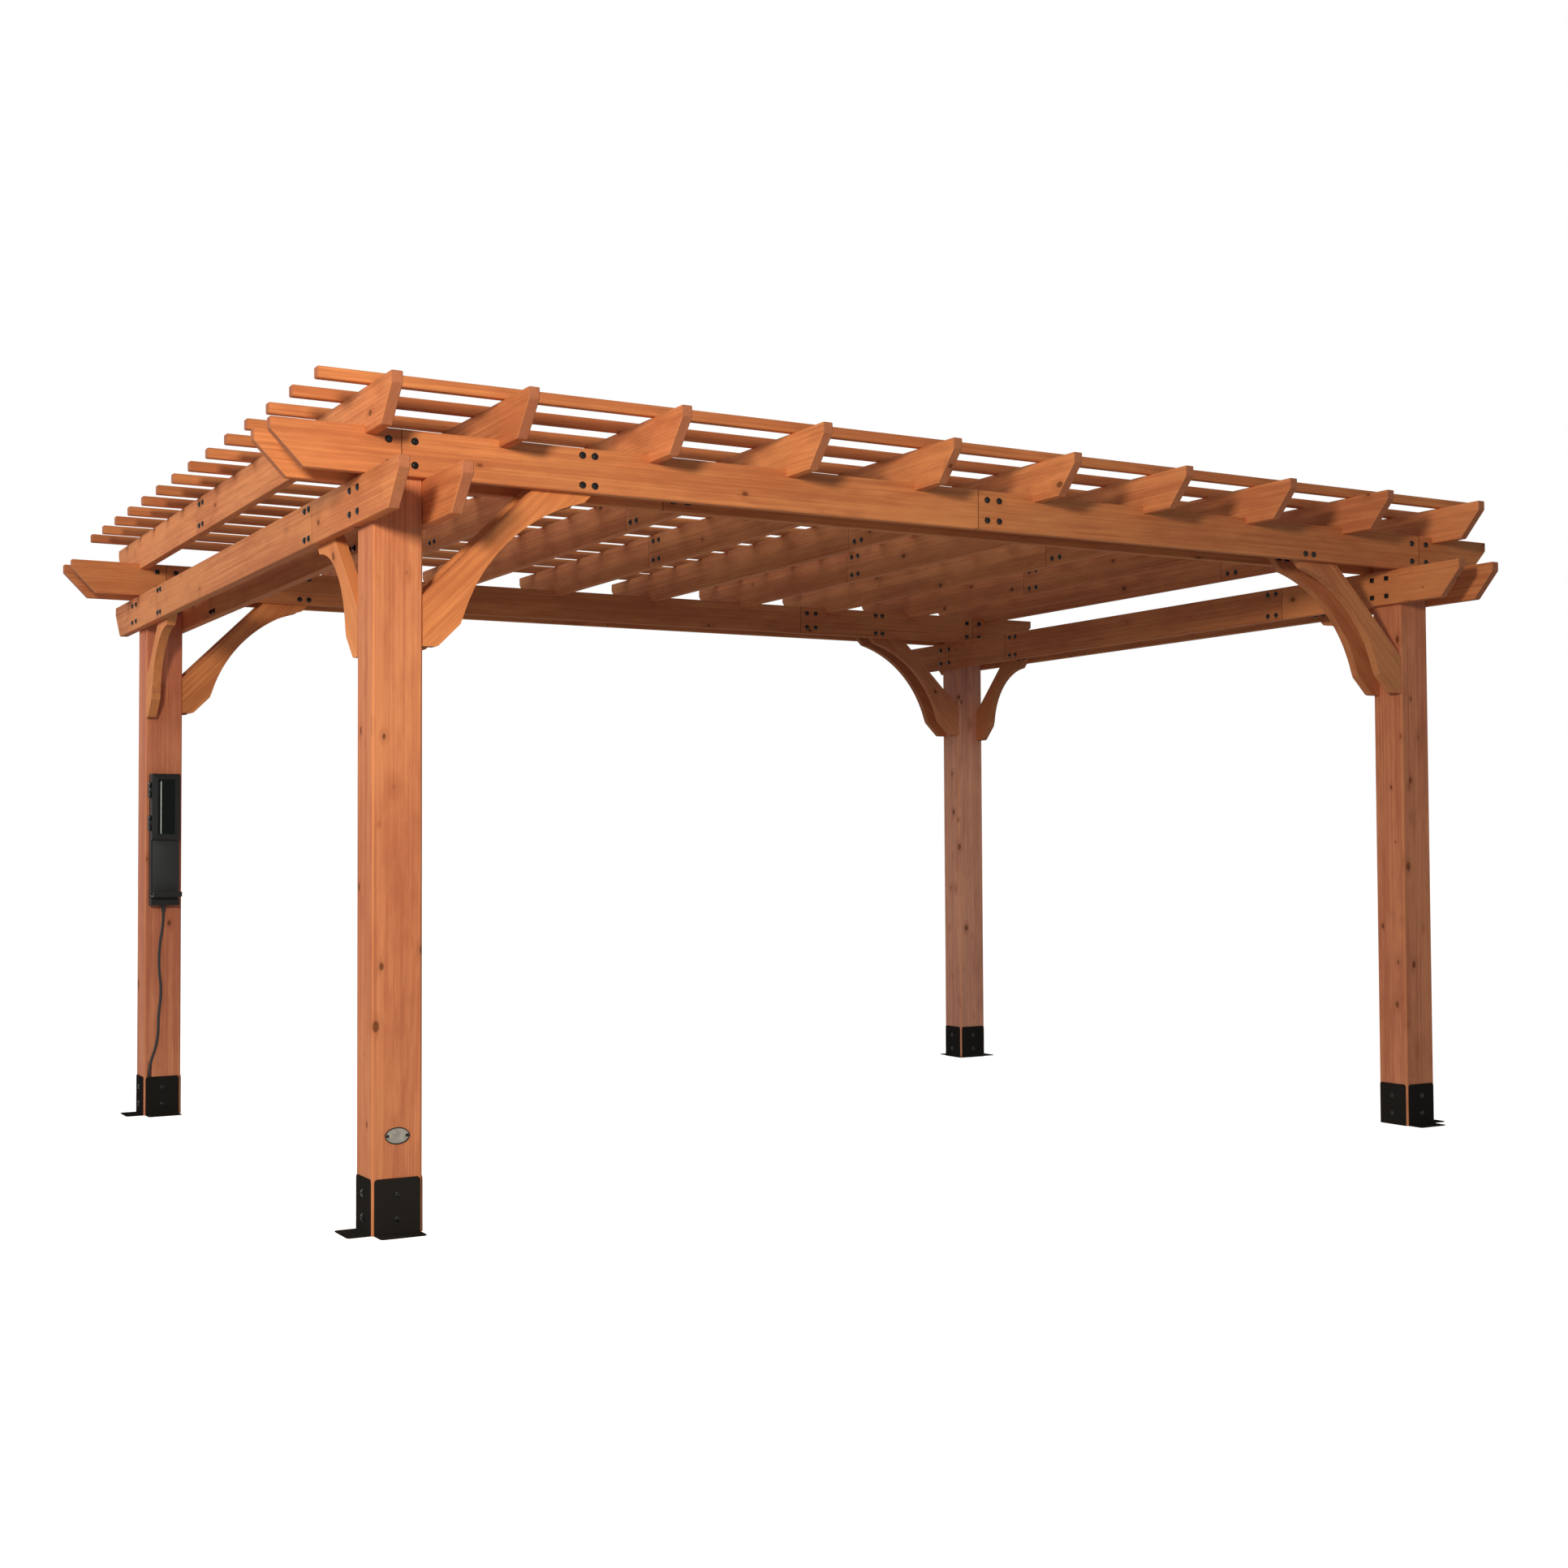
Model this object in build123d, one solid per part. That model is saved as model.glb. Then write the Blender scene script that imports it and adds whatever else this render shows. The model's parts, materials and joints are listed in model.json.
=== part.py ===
from build123d import *
import math
import os

# Wooden pergola: four square posts, doubled beams, notched rafters and shade slats.
# X runs along the long front, Y from the front to the back, Z up from the ground.
# The origin is on the ground, in the middle of the four posts. Sizes are millimetres.

# Plan of the posts, from outer face to outer face
span_length = 4020
span_depth = 3120

# Posts
post_width = 140
post_edge = 5

# Boards of the beams and rafters, all of one stock
board_thickness = 32
board_height = 127
board_edge = 2
seam_gap = 0.4
nose_height = 32
nose_run = 90

# Side beams run along Y on both faces of the posts, cross beams lie on them along X
side_beam_bottom = 1936
side_overhang = 320
cross_overhang = 286
outer_side_splice = 485
inner_side_splice = 600
outer_cross_splice = 42
front_inner_splice = 1076
back_inner_splice = 956

# Rafters are notched over the cross beams
rafter_count = 10
rafter_pitch = 459
rafter_overhang = 260
notch_depth = 22
notch_clearance = 0.3
rafter_splice = 400

# Slats lie across the rafters
slat_count = 14
slat_width = 32
slat_height = 32
slat_edge = 3
slat_end_overhang = 175
slat_row_overhang = 80

# Curved braces between posts and beams
cross_brace_reach = 588
side_brace_reach = 485
brace_thickness = 32
brace_seat = 140
brace_end_flat = 42
brace_end_bevel = 66
brace_end_round = 18
brace_top_bevel = 109
brace_arc_step = 9
brace_arc_run = 24
brace_waist = 59

# Steel plates on the feet of the posts
plate_thickness = 3
plate_width = 127
plate_height = 152
plate_corner = 10
flange_depth = 64
flange_hole_radius = 4.5
flange_hole_spacing = 44
flange_hole_setback = 36

# Power box on the front face of the back left post
box_left = 14
box_width = 108
box_bottom = 832
box_height = 522
box_depth = 40
box_wall = 4
box_edge = 3
cover_height = 262
cover_rim = 10
cover_rise = 12
cover_bevel = 18
cover_gap = 5
cover_wall = 3
pane_thickness = 2
pane_margin = 4
pane_clearance = 0.2
shelf_height = 40
shelf_depth = 58
shelf_thickness = 6
shelf_lip = 20
foot_height = 22
foot_proud = 8
panel_thickness = 6
panel_margin = 5
outlet_width = 36
outlet_height = 70
outlet_proud = 3
outlet_corner = 6

# Hinges of the cover
hinge_offset = 7
hinge_barrel_radius = 5
hinge_pin_radius = 2
hinge_clearance = 0.2
hinge_knuckle = 20
hinge_knuckle_gap = 0.5
hinge_web = 10
hinge_inset_share = 0.25

# Power cord from the foot of the box to a channel behind the plate of the post
cord_radius = 5
cord_sides = 12
gland_sides = 16
gland_length = 28
gland_top_radius = 10
gland_tip_radius = 6.5
cord_setback = 12
channel_inset = 21
channel_width = 18
channel_depth = 14
channel_bottom = 112
channel_shoulder = 160
channel_mouth = 215

# One overrun serves all cuts
overrun = 5

# Places that follow from the sizes above
half_length = span_length / 2
half_depth = span_depth / 2
side_beam_top = side_beam_bottom + board_height
cross_beam_top = side_beam_top + board_height
rafter_bottom = cross_beam_top - notch_depth
rafter_top = rafter_bottom + board_height
left_face = -half_length
back_post_front = half_depth - post_width


def block(x_range, y_range, z_range):
    """A box given by its low and high place along each axis."""
    ranges = (x_range, y_range, z_range)
    middle = [(low + high) / 2 for low, high in ranges]
    sizes = [high - low for low, high in ranges]
    return Pos(*middle) * Box(*sizes)


def save(solids, name):
    """Write one node, made of one solid or of solids that lie apart."""
    parts = [part for solid in solids for part in solid.solids()]
    shape = parts[0] if len(parts) == 1 else Compound(children=parts)
    export_step(shape, f"parts/{name}.step")


def nosed_outline(half_run, bottom, top):
    """A board's side view, with the lower corner of each end cut at an angle."""
    return Polygon(
        (-half_run, top),
        (-half_run, top - nose_height),
        (-half_run + nose_run, bottom),
        (half_run - nose_run, bottom),
        (half_run, top - nose_height),
        (half_run, top),
        align=None,
    )


def board_along_y(left, overhang, bottom):
    outline = nosed_outline(half_depth + overhang, bottom, bottom + board_height)
    board = extrude(Plane.YZ.offset(left) * outline, board_thickness)
    return chamfer(board.edges(), board_edge)


def board_along_x(front, overhang, bottom):
    outline = nosed_outline(half_length + overhang, bottom, bottom + board_height)
    back = front + board_thickness
    board = extrude(Plane.XZ.offset(-back) * outline, board_thickness)
    return chamfer(board.edges(), board_edge)


def cut_at_y(board, places):
    """Part a board that runs along Y with hairline seams."""
    box = board.bounding_box()
    for place in places:
        board -= block(
            (box.min.X - overrun, box.max.X + overrun),
            (place - seam_gap / 2, place + seam_gap / 2),
            (box.min.Z - overrun, box.max.Z + overrun),
        )
    return board


def cut_at_x(board, places):
    """Part a board that runs along X with hairline seams."""
    box = board.bounding_box()
    for place in places:
        board -= block(
            (place - seam_gap / 2, place + seam_gap / 2),
            (box.min.Y - overrun, box.max.Y + overrun),
            (box.min.Z - overrun, box.max.Z + overrun),
        )
    return board


def doubled_faces(half_span):
    """Low sides of the boards on both faces of two posts, outer, inner, inner, outer."""
    near = -half_span
    far = half_span
    return {
        "near_outer": near - board_thickness,
        "near_inner": near + post_width,
        "far_inner": far - post_width - board_thickness,
        "far_outer": far,
    }


side_lines = doubled_faces(half_length)
cross_lines = doubled_faces(half_depth)


def post(left, front):
    body = block(
        (left, left + post_width),
        (front, front + post_width),
        (0, cross_beam_top),
    )
    return chamfer(body.edges().filter_by(Axis.Z), post_edge)


def cord_channel(middle):
    """Slot in the foot of a post, with a sloping mouth, that takes the cord behind the plate."""
    deep = back_post_front + channel_depth
    proud = back_post_front - overrun
    outline = Polygon(
        (proud, channel_mouth + overrun * (channel_mouth - channel_shoulder) / channel_depth),
        (proud, channel_bottom),
        (deep, channel_bottom),
        (deep, channel_shoulder),
        align=None,
    )
    return extrude(Plane.YZ.offset(middle - channel_width / 2) * outline, channel_width)


def foot_plate(flanged):
    """A plate on the face y = 0 of a post that reaches from x = 0, with its flange or without."""
    margin = (post_width - plate_width) / 2
    upright = block(
        (margin, margin + plate_width),
        (-plate_thickness, 0),
        (0, plate_height),
    )
    top_corners = upright.edges().filter_by(Axis.Y).group_by(Axis.Z)[-1]
    plate = fillet(top_corners, plate_corner)
    if not flanged:
        return plate
    flange = block(
        (margin, margin + plate_width),
        (-flange_depth, 0),
        (0, plate_thickness),
    )
    tips = flange.edges().filter_by(Axis.Z).group_by(Axis.Y)[0]
    plate += fillet(tips, plate_corner)
    for step in (-1, 0, 1):
        hole = Cylinder(flange_hole_radius, plate_thickness + overrun)
        plate -= Pos(post_width / 2 + step * flange_hole_spacing, -flange_hole_setback, 0) * hole
    return plate


def foot_plates(left, front, flanged_turns):
    """Plates on all four faces of a post, flanged on the faces that the turns name."""
    middle = Pos(left + post_width / 2, front + post_width / 2, 0)
    to_middle = Pos(-post_width / 2, -post_width / 2, 0)
    return [
        middle * Rot(0, 0, turn) * to_middle * foot_plate(turn in flanged_turns)
        for turn in (0, 90, 180, 270)
    ]


def brace_face(reach):
    """Outline of a brace: x away from the post, y down from its top, as negative heights."""
    straight = reach - brace_seat
    waist = (straight + brace_waist * math.sqrt(2)) / 2
    shoulder = (brace_end_flat + brace_end_bevel, -(reach - brace_end_bevel))
    foot = (shoulder[0] + brace_arc_step, shoulder[1] + brace_arc_run)
    crown = (reach - brace_top_bevel, -(brace_end_flat + brace_top_bevel))
    edges = Polyline(
        crown,
        (reach, -brace_end_flat),
        (reach, 0),
        (straight, 0),
        (0, -straight),
        (0, -reach),
        (brace_end_flat, -reach),
        shoulder,
        foot,
    )
    arc = ThreePointArc(foot, (waist, -waist), crown)
    return make_face(edges + arc)


def brace(reach):
    """A brace in the plane y = 0 to y = thickness, seated on a post face at x = 0, top at z = 0."""
    board = extrude(Plane.XZ * brace_face(reach), -brace_thickness)
    toe = board.edges().filter_by(Axis.Y).group_by(Axis.Z)[0].sort_by(Axis.X)[-1]
    return fillet(toe, brace_end_round)


def cross_braces(post_side, front_lines):
    """Two braces between the boards of the cross beams, on the inner face of a post."""
    seat = post_side * (half_length - post_width)
    solids = []
    for line in front_lines:
        board = brace(cross_brace_reach)
        if post_side > 0:
            board = mirror(board, Plane.YZ)
        solids.append(Pos(seat, line, cross_beam_top) * board)
    return solids


def side_brace(left, post_end):
    """One brace behind the outer board of a side beam, on the inner face of a post."""
    board = Rot(0, 0, 90) * brace(side_brace_reach)
    board = Pos(brace_thickness, 0, 0) * board
    if post_end > 0:
        board = mirror(board, Plane.XZ)
    seat = post_end * (half_depth - post_width)
    return Pos(left, seat, side_beam_top) * board


def rafter(left, splice):
    board = board_along_y(left, rafter_overhang, rafter_bottom)
    for line in cross_lines.values():
        board -= block(
            (left - overrun, left + board_thickness + overrun),
            (line - notch_clearance, line + board_thickness + notch_clearance),
            (rafter_bottom - overrun, cross_beam_top),
        )
    return cut_at_y(board, [splice])


def slat(front):
    half = half_length + slat_end_overhang
    board = block((-half, half), (front, front + slat_width), (rafter_top, rafter_top + slat_height))
    return chamfer(board.edges(), slat_edge)


os.makedirs("parts", exist_ok=True)

posts = {
    "front_left": (-half_length, -half_depth),
    "front_right": (half_length - post_width, -half_depth),
    "back_left": (-half_length, half_depth - post_width),
    "back_right": (half_length - post_width, half_depth - post_width),
}
flanged_faces = {
    "front_left": (0, 270),
    "front_right": (0, 90),
    "back_left": (0, 270),
    "back_right": (90, 180),
}

for name, (left, front) in posts.items():
    body = post(left, front)
    if name == "back_left":
        body -= cord_channel(left_face + channel_inset)
    save([body], f"post_{name}")
    save(foot_plates(left, front, flanged_faces[name]), f"base_{name}")

side_names = {
    "near_outer": "side_beam_left_outer",
    "near_inner": "side_beam_left_inner",
    "far_inner": "side_beam_right_inner",
    "far_outer": "side_beam_right_outer",
}
for line, name in side_names.items():
    inset = outer_side_splice if "outer" in line else inner_side_splice
    seam = half_depth - inset
    board = board_along_y(side_lines[line], side_overhang, side_beam_bottom)
    save([cut_at_y(board, (-seam, seam))], name)

cross_names = {
    "near_outer": "cross_beam_front_outer",
    "near_inner": "cross_beam_front_inner",
    "far_inner": "cross_beam_back_inner",
    "far_outer": "cross_beam_back_outer",
}
post_middle = half_length - post_width / 2
middle_seams = {
    "near_outer": -outer_cross_splice,
    "near_inner": -front_inner_splice,
    "far_inner": back_inner_splice,
    "far_outer": outer_cross_splice,
}
for line, name in cross_names.items():
    board = board_along_x(cross_lines[line], cross_overhang, side_beam_top)
    save([cut_at_x(board, (-post_middle, middle_seams[line], post_middle))], name)

for index in range(rafter_count):
    left = half_length - (rafter_count - 1 - index) * rafter_pitch
    if index == 0:
        left = -half_length - board_thickness
    splice = rafter_splice if index % 2 == 0 else -rafter_splice
    save([rafter(left, splice)], f"rafter_{index + 1:02d}")

slat_first = -half_depth - slat_row_overhang
slat_last = half_depth + slat_row_overhang - slat_width
slat_pitch = (slat_last - slat_first) / (slat_count - 1)
save([slat(slat_first + index * slat_pitch) for index in range(slat_count)], "roof_slats")

brace_lines = {
    "front": (-half_depth, -half_depth + post_width - brace_thickness),
    "back": (half_depth - post_width, half_depth - brace_thickness),
}
for end, lines in brace_lines.items():
    for side, post_side in (("left", -1), ("right", 1)):
        save(cross_braces(post_side, lines), f"cross_braces_{end}_{side}")
        left = -half_length if post_side < 0 else half_length - brace_thickness
        save([side_brace(left, -1 if end == "front" else 1)], f"side_brace_{end}_{side}")


# Power box: all places are taken from the post face that carries it
box_x = left_face + box_left
box_right = box_x + box_width
box_top = box_bottom + box_height
box_front = back_post_front - box_depth
cover_bottom = box_top - cover_height
cover_back = box_front - cover_gap
hinge_x = box_x - hinge_offset
hinge_y = box_front - cover_gap / 2
knuckle_step = hinge_knuckle + hinge_knuckle_gap
hinge_heights = (
    cover_bottom + cover_height * hinge_inset_share,
    box_top - cover_height * hinge_inset_share,
)


def barrel(height, length, radius):
    return Pos(hinge_x, hinge_y, height) * Cylinder(radius, length)


def box_housing():
    """Case with an open tray behind the cover, a closed lower panel, a shelf and a foot."""
    case = block((box_x, box_right), (box_front, back_post_front), (box_bottom, box_top))
    case = chamfer(case.edges().filter_by(Axis.Z).group_by(Axis.Y)[0], box_edge)
    case -= block(
        (box_x + box_wall, box_right - box_wall),
        (box_front - overrun, back_post_front - box_wall),
        (cover_bottom + box_wall, box_top - box_wall),
    )
    shelf_low = box_bottom + shelf_height - shelf_thickness
    shelf_tip = box_front - shelf_depth
    case += block((box_x, box_right), (shelf_tip, box_front), (shelf_low, shelf_low + shelf_thickness))
    case += block(
        (box_x, box_right),
        (shelf_tip, shelf_tip + shelf_thickness),
        (shelf_low, shelf_low + shelf_lip),
    )
    case += block(
        (box_x, box_right),
        (box_front - foot_proud, box_front),
        (box_bottom, box_bottom + foot_height),
    )
    for height in hinge_heights:
        case += barrel(height, hinge_knuckle * 3, hinge_pin_radius)
        for step in (-1, 1):
            level = height + step * knuckle_step
            case += barrel(level, hinge_knuckle, hinge_barrel_radius)
            case += block(
                (hinge_x, box_x + box_wall),
                (hinge_y + cover_gap / 2, hinge_y + cover_gap / 2 + hinge_web),
                (level - hinge_knuckle / 2, level + hinge_knuckle / 2),
            )
    return case


def box_cover():
    """Hinged cover: a rim, a bevelled front with a sunk pane and knuckles on its left edge."""
    rim_front = cover_back - cover_rim
    cover = block((box_x, box_right), (rim_front, cover_back), (cover_bottom, box_top))
    width, height = box_width, cover_height
    middle_x = (box_x + box_right) / 2
    middle_z = (cover_bottom + box_top) / 2
    foot = Plane.XZ.offset(-rim_front) * Pos(middle_x, middle_z) * Rectangle(width, height)
    crown = Plane.XZ.offset(-rim_front + cover_rise) * Pos(middle_x, middle_z) * Rectangle(
        width - cover_bevel * 2, height - cover_bevel * 2
    )
    cover += loft([foot.face(), crown.face()])
    cover -= block(
        (box_x + cover_wall, box_right - cover_wall),
        (rim_front, cover_back + overrun),
        (cover_bottom + cover_wall, box_top - cover_wall),
    )
    cover -= pane_block(pane_clearance)
    for height in hinge_heights:
        cover += barrel(height, hinge_knuckle, hinge_barrel_radius)
        cover += block(
            (hinge_x, box_x + cover_wall),
            (hinge_y - cover_gap / 2 - hinge_web, hinge_y - cover_gap / 2),
            (height - hinge_knuckle / 2, height + hinge_knuckle / 2),
        )
        cover -= barrel(height, hinge_knuckle + overrun, hinge_pin_radius + hinge_clearance)
    return cover


def pane_block(clearance):
    """The dark pane that is let into the crown of the cover, or the pocket for it."""
    crown_front = cover_back - cover_rim - cover_rise
    inset = cover_bevel + pane_margin - clearance
    return block(
        (box_x + inset, box_right - inset),
        (crown_front - clearance, crown_front + pane_thickness),
        (cover_bottom + inset, box_top - inset),
    )


def outlet_panel():
    """Inner panel on the back wall of the tray, with two raised outlets."""
    back = back_post_front - box_wall
    front = back - panel_thickness
    inset = box_wall + panel_margin
    panel = block(
        (box_x + inset, box_right - inset),
        (front, back),
        (cover_bottom + inset, box_top - inset),
    )
    middle_x = (box_x + box_right) / 2
    for height in hinge_heights:
        outlet = block(
            (middle_x - outlet_width / 2, middle_x + outlet_width / 2),
            (front - outlet_proud, front),
            (height - outlet_height / 2, height + outlet_height / 2),
        )
        panel += fillet(outlet.edges().filter_by(Axis.Y), outlet_corner)
    return panel


save([box_housing()], "power_box_housing")
save([box_cover()], "power_box_cover")
save([pane_block(0)], "power_box_pane")
save([outlet_panel()], "outlet_panel")

# Cord: out of the gland, loosely down the face of the post and into the channel
gland_x = box_x + box_width / 2
gland_y = back_post_front - cord_setback
gland_bottom = box_bottom - gland_length
gland_top = Pos(gland_x, gland_y, box_bottom) * RegularPolygon(gland_top_radius, gland_sides)
gland_tip = Pos(gland_x, gland_y, gland_bottom) * RegularPolygon(gland_tip_radius, gland_sides)
save([loft([gland_tip.face(), gland_top.face()], ruled=True)], "cord_gland")

cord_route = [
    (-1942, 1408, 804),
    (-1942, 1408, 756),
    (-1956, 1412, 668),
    (-1957, 1412, 578),
    (-1946, 1412, 488),
    (-1958, 1412, 398),
    (-1958, 1411.4, 318),
    (-1971, 1411, 256),
    (-1986, 1413.5, 215),
    (-1989, 1423, 176),
    (-1989, 1428, 140),
    (-1989, 1428.3, 112.3),
]


def cord_radii(points):
    """Largest arcs that the runs on both sides of each inner point allow."""
    radii = []
    for before, here, after in zip(points, points[1:], points[2:]):
        run_in = Vector(*here) - Vector(*before)
        run_out = Vector(*after) - Vector(*here)
        turn = math.radians(run_in.get_angle(run_out))
        reach = min(run_in.length, run_out.length) * cord_run_share
        radii.append(reach / math.tan(turn / 2))
    return radii


cord_run_share = 0.45
radii = cord_radii(cord_route)
print("cord radii", [round(radius) for radius in radii])
path = FilletPolyline(*cord_route, radius=radii)
start = Plane(origin=path @ 0, z_dir=path % 0)
section = start * RegularPolygon(cord_radius, cord_sides)
cord = sweep(section, path=path)
print("cord length", round(path.length, 1))
print("cord volume share", round(cord.volume / (section.area * path.length), 4))
save([cord], "power_cord")
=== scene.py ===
"""Wooden pergola: stain, fasteners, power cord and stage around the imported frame."""

import json
import math

import bpy
from bpy.props import FloatProperty, FloatVectorProperty, PointerProperty
from mathutils import Euler, Matrix, Vector


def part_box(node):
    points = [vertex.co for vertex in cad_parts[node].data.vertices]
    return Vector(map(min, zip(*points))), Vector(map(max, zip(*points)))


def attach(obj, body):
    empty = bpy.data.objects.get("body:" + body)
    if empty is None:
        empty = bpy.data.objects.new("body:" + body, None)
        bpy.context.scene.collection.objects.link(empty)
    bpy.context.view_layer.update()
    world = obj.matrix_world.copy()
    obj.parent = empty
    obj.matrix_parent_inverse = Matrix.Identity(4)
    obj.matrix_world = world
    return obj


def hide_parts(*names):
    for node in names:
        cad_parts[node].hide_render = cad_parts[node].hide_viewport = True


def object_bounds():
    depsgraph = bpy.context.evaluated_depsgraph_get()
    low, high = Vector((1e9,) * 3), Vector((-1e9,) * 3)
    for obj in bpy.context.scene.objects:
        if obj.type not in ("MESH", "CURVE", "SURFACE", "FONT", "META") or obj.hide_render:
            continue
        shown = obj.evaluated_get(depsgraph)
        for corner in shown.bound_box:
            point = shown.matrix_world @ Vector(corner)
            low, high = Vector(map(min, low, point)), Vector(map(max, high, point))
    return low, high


bl_info = {
    "name": "Wooden pergola",
    "version": (1, 0, 0),
    "blender": (4, 5, 0),
    "location": "View3D > Sidebar > Pergola",
    "description": "Stain, fasteners, power cord and stage for a timber pergola",
    "category": "Object",
}

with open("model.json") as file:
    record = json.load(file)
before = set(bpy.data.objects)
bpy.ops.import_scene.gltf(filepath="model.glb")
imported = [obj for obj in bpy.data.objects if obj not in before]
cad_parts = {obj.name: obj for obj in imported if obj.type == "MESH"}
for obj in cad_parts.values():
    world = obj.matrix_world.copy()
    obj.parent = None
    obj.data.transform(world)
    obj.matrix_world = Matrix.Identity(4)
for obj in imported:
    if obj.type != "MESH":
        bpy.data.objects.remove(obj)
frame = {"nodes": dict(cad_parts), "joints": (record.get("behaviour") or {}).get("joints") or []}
cad_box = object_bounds()

# Names of the frame's pieces
ENDS = ("front", "back")
SIDES = ("left", "right")
CORNERS = tuple((end, side) for end in ENDS for side in SIDES)
RAFTERS = sorted(name for name in frame["nodes"] if name.startswith("rafter_"))

# Axes of the frame
LONG, DEEP, UP = 0, 1, 2

# Hairline seams are narrower than this, and nothing else in a board is
SEAM_WIDTH = 0.002

# Half the width of the painted shade along a seam, a dark line for the shadow in the hairline gap
SEAM_SHADE = 0.0022

# Slats lie further apart than this
SLAT_GAP = 0.1

# A face looks along an axis where its normal reaches this far along it
FACING = 0.99

# Width of the camera's sensor, in millimetres
SENSOR_WIDTH = 36.0

WHITE = (1.0, 1.0, 1.0, 1.0)

# Control points of the power cord, from the gland to the channel behind the foot plate
CORD_ROUTE = [
    (-1.942, 1.408, 0.804),
    (-1.942, 1.408, 0.756),
    (-1.956, 1.412, 0.668),
    (-1.957, 1.412, 0.578),
    (-1.946, 1.412, 0.488),
    (-1.958, 1.412, 0.398),
    (-1.958, 1.4114, 0.318),
    (-1.971, 1.411, 0.256),
    (-1.986, 1.4135, 0.215),
    (-1.989, 1.423, 0.176),
    (-1.989, 1.428, 0.140),
    (-1.989, 1.4283, 0.1123),
]

# Noises in cedar: cells per metre along and across the grain, detail and roughness
CEDAR_NOISES = {
    "swell": (0.17, 5.0, 1.5, 0.4),
    "wander": (1.8, 18.0, 2.0, 0.5),
    "band": (0.35, 24.0, 2.0, 0.5),
    "streak": (1.0, 130.0, 3.0, 0.65),
    "fibre": (8.0, 420.0, 2.0, 0.6),
    "cloud": (1.4, 4.0, 3.0, 0.5),
    "mottle": (9.0, 34.0, 3.0, 0.6),
}

# How far some of them shift the stain from deep to light
STAIN_SHIFTS = {"streak": 0.85, "cloud": 0.75, "mottle": 0.45}

# How far the figures of two boards may lie apart
BOARDS_APART = (31.0, 23.0, 19.0)

# How far a board may differ from the others in tone, hue and lightness
BOARD_TONE, BOARD_HUE, BOARD_LIGHTNESS = 0.15, 0.0012, 0.06

# How far fibres shade the stain
FIBRE_SHADE = 0.2

# Knots: cells per metre, how they are drawn out along the grain, and least and most radius
KNOT_CELLS = (3.4, 15.0, 15.0)
KNOT_DRAW = (0.6, 1.0, 1.0)
KNOT_RADII = (0.001, 0.0115)

# Growth rings: how many, how far they wander, and how far a knot bends them
RING_COUNT, RING_WANDER, RING_BEND = 26.0, 0.2, 0.5

# Coats: dust, share of dust, size of the grain, low and high roughness, specular level, bump
COATS = {
    "black_plate_steel": ((0.05, 0.04, 0.033, 1.0), 0.16, 0.0011, 0.46, 0.6, 0.0, 0.1),
    "black_bolt_steel": ((0.03, 0.027, 0.025, 1.0), 0.1, 0.0006, 0.2, 0.28, 0.2, 0.04),
    "black_hinge_steel": ((0.03, 0.027, 0.025, 1.0), 0.1, 0.0006, 0.18, 0.26, 0.5, 0.03),
    "moulded_black_plastic": ((0.07, 0.065, 0.06, 1.0), 0.15, 0.0009, 0.34, 0.46, 0.16, 0.12),
    "slate_panel_plastic": ((0.09, 0.085, 0.08, 1.0), 0.15, 0.0007, 0.42, 0.52, 0.1, 0.1),
    "smoked_pane": ((0.03, 0.03, 0.028, 1.0), 0.06, 0.004, 0.08, 0.14, 0.07, 0.01),
    "cord_rubber": ((0.10, 0.075, 0.055, 1.0), 0.3, 0.0008, 0.3, 0.42, 0.2, 0.08),
    # A light-grey strip beside the pane: a painted reflection on the pane's left edge
    "bright_seal": ((0.55, 0.54, 0.52, 1.0), 0.3, 0.002, 0.25, 0.4, 0.5, 0.05),
}

# What a finish group puts out
FINISH_OUTPUTS = {
    "Color": "NodeSocketColor",
    "Roughness": "NodeSocketFloat",
    "Height": "NodeSocketFloat",
}

# Steps of a bolt's dome: rise as a share of its height, and draw; the last goes down a socket
DOME_STEPS = ((0.42, 0.86), (0.25, 0.68), (0.08, 0.62), (-0.3, 0.9))

# Steps of a nut above its lobes: a raised face, the foot of the bolt's end, and that end
NUT_STEPS = ((0.35, 0.8), (0.0, 0.55), (0.5, 1.0))


def settings_of(kind, **fixed):
    """A short way to make settings of one kind from a name, a description and a default."""

    def setting(name, description, default):
        return kind(name=name, description=description, default=default, **fixed)

    return setting


metres = settings_of(FloatProperty, subtype="DISTANCE", unit="LENGTH")
metre_pair = settings_of(FloatVectorProperty, size=2, subtype="XYZ", unit="LENGTH")
spot = settings_of(FloatVectorProperty, subtype="TRANSLATION", unit="LENGTH")
angle = settings_of(FloatProperty, subtype="ANGLE")
watts = settings_of(FloatProperty, subtype="POWER", unit="POWER")
ratio = settings_of(FloatProperty, subtype="FACTOR")
light = settings_of(FloatVectorProperty, subtype="COLOR")
paint = settings_of(FloatVectorProperty, size=4, subtype="COLOR")


def stain_of(boards, default):
    """A setting for the way some boards take the stain, which on the braces on the right also holds
    painted shade; 0.5, 1 and 1 leave it as it is.
    """
    return FloatVectorProperty(
        name=f"Stain of {boards}",
        description=f"Hue, richness and lightness of {boards}",
        default=default,
    )


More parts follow.
